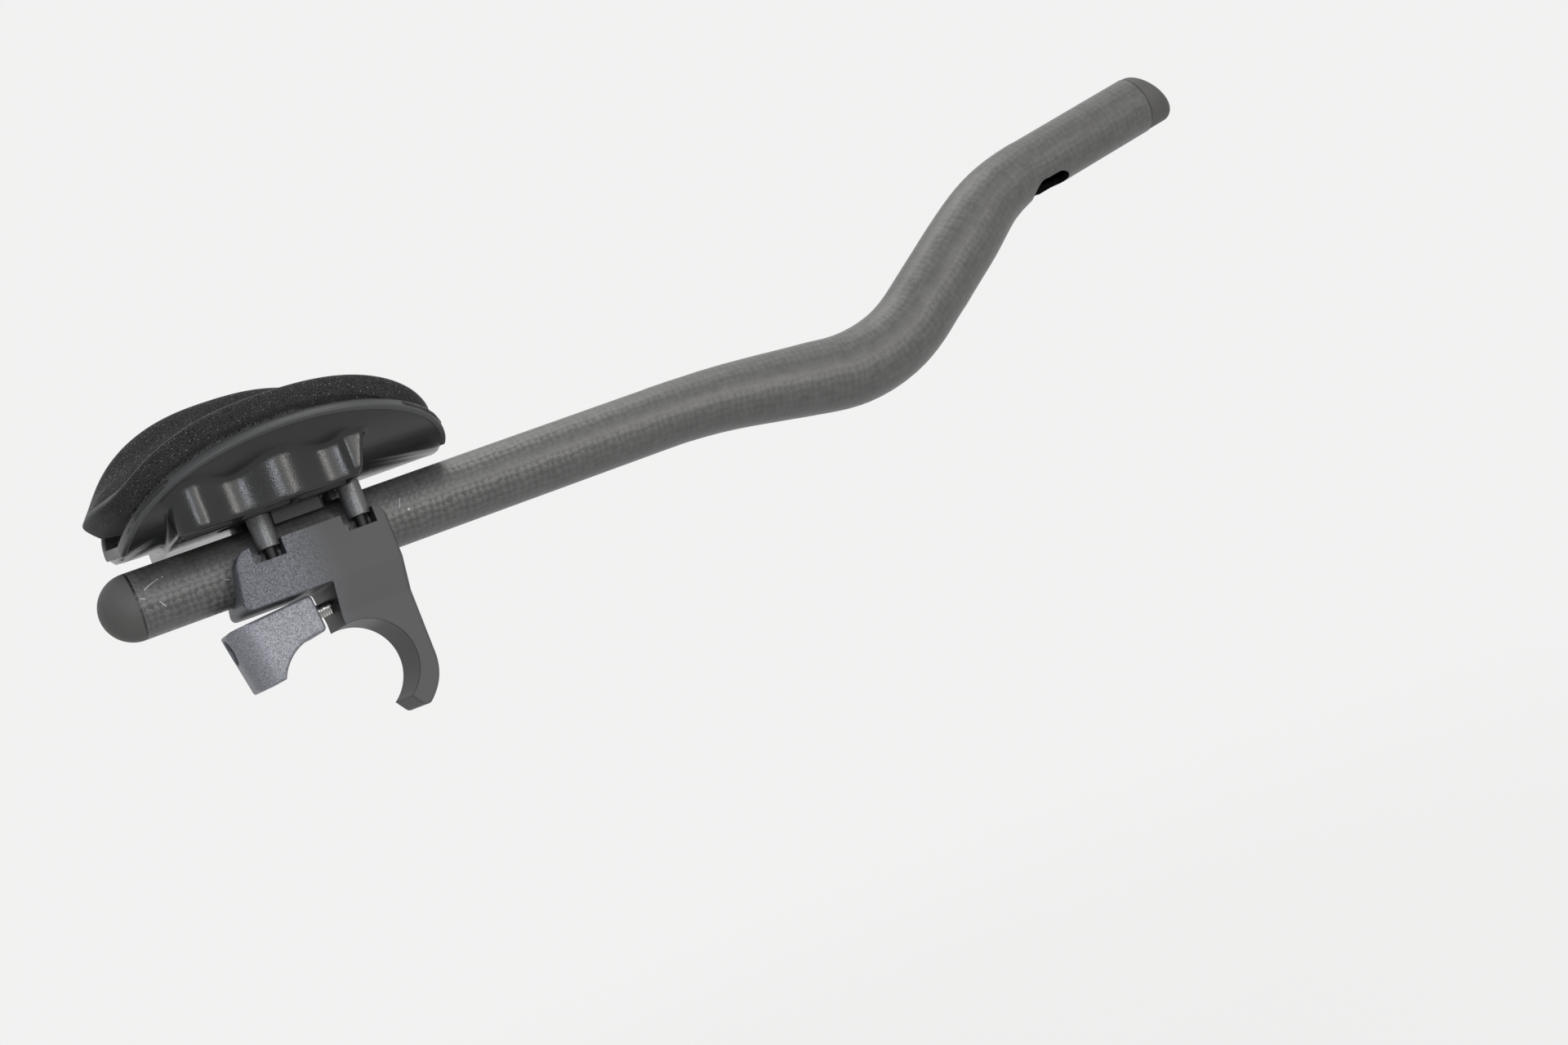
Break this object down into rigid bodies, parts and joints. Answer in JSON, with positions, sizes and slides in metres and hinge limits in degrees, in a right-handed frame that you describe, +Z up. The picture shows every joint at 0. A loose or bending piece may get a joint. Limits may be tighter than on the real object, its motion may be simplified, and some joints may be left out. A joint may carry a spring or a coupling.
{
  "type": "aero handlebar extension",
  "caption": "Clip-on aero handlebar extension: a hollow tube with a swelling S bend in a handlebar clamp bracket, under a padded armrest cup",
  "frame": {"origin": "on the axis of the handlebar that the bracket clamps, in the middle of the clamp", "axes": "+X forward along the extension's straight tail, +Y to the rider's left along the handlebar, +Z up towards the armrest"},
  "size_m": [0.4399, 0.1021, 0.1244],
  "materials": {
    "carbon": "satin woven carbon",
    "rubber": "matte moulded rubber",
    "bracket_finish": "satin black anodised casting",
    "jaw_finish": "blasted grey anodised",
    "cap_metal": "milled grey",
    "sleeve_finish": "satin black anodised",
    "steel": "plain steel",
    "cup_plastic": "semi-gloss moulded black",
    "hook_tape": "woven hook tape",
    "pad_fabric": "black loop fabric over foam"
  },
  "bodies": {
    "bracket": {"bracket": "bracket_finish", "tube_cap": "cap_metal", "armrest_cup": "cup_plastic", "hook_strip_rear": "hook_tape", "hook_strip_front": "hook_tape", "arm_pad": "pad_fabric", "sleeve_rear_right": "sleeve_finish", "sleeve_rear_left": "sleeve_finish", "sleeve_front_right": "sleeve_finish", "sleeve_front_left": "sleeve_finish", "washer_rear_right": "steel", "washer_rear_left": "steel", "washer_front_right": "steel", "washer_front_left": "steel", "bolt_rear_right": "steel", "bolt_rear_left": "steel", "bolt_front_right": "steel", "bolt_front_left": "steel"},
    "extension": {"extension_tube": "carbon", "rear_plug": "rubber", "front_plug": "rubber"},
    "jaw": {"clamp_jaw": "jaw_finish", "jaw_bolt": "steel"}
  },
  "joints": [
    {"name": "reach_slide", "type": "slide", "parent": "bracket", "child": "extension", "axis": [1, 0, 0], "range_m": [-0.04, 0.02]},
    {"name": "jaw_slide", "type": "slide", "parent": "bracket", "child": "jaw", "axis": [0.9962, 0, 0.0872], "range_m": [-0.004, 0.0055]}
  ]
}
